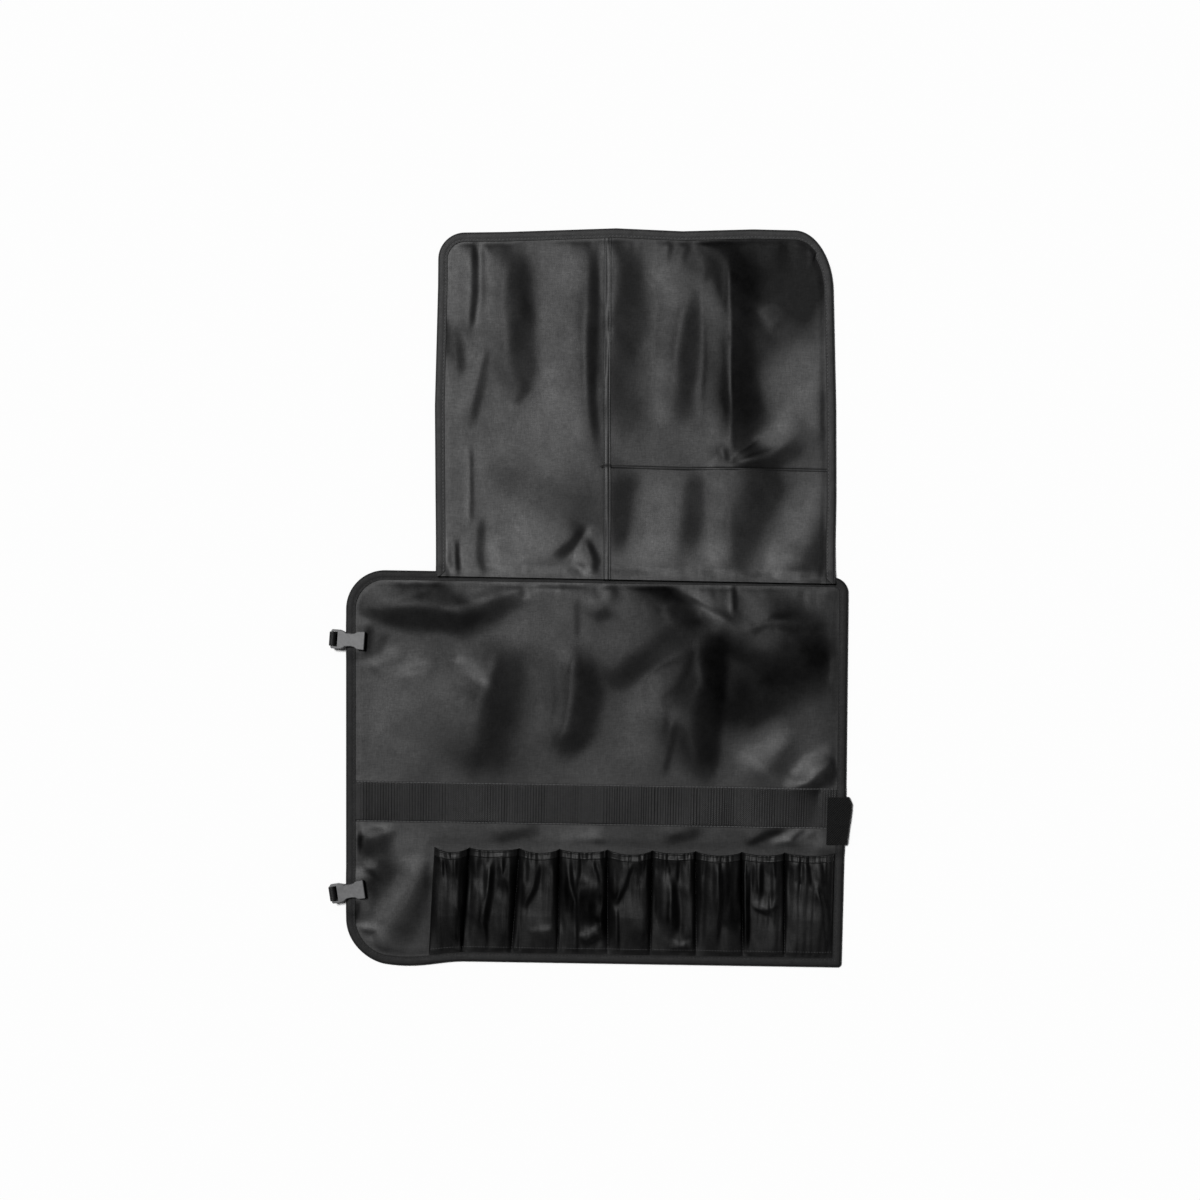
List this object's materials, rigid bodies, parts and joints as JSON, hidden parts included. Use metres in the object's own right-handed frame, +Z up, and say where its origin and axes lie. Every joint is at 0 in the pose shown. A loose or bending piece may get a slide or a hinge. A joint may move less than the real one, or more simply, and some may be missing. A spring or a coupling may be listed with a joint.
{
  "type": "chef knife roll",
  "caption": "Open cloth knife roll with a folded-up flap, slip pocket, webbing band, row of gathered knife pockets, taped edges and two buckle halves.",
  "frame": {"origin": "centre of the bounding box, on the surface that the roll lies on", "axes": "+X from the buckles towards the plain side, +Y from the pockets towards the flap, +Z up"},
  "size_m": [0.6008, 0.8484, 0.0192],
  "materials": {
    "panel_cloth": "black woven polyester with a soft sheen",
    "flap_cloth": "charcoal woven polyester with a satin sheen",
    "pocket_cloth": "deep black gathered cloth",
    "binding_tape": "black woven edge tape, stitched",
    "webbing": "black ribbed webbing",
    "strap_fleece": "black looped fastening strap",
    "buckle_plastic": "grey moulded plastic, satin"
  },
  "bodies": {
    "root": {"main_panel": "panel_cloth", "panel_binding": "binding_tape", "flap": "flap_cloth", "flap_binding": "binding_tape", "flap_pocket": "flap_cloth", "webbing_band": "webbing", "edge_strap": "strap_fleece", "mouth_elastic": "binding_tape", "buckle_upper": "buckle_plastic", "buckle_lower": "buckle_plastic", "buckle_strap_upper": "webbing", "buckle_strap_lower": "webbing", "pocket_1": "pocket_cloth", "pocket_2": "pocket_cloth", "pocket_3": "pocket_cloth", "pocket_4": "pocket_cloth", "pocket_5": "pocket_cloth", "pocket_6": "pocket_cloth", "pocket_7": "pocket_cloth", "pocket_8": "pocket_cloth", "pocket_9": "pocket_cloth"}
  },
  "joints": []
}
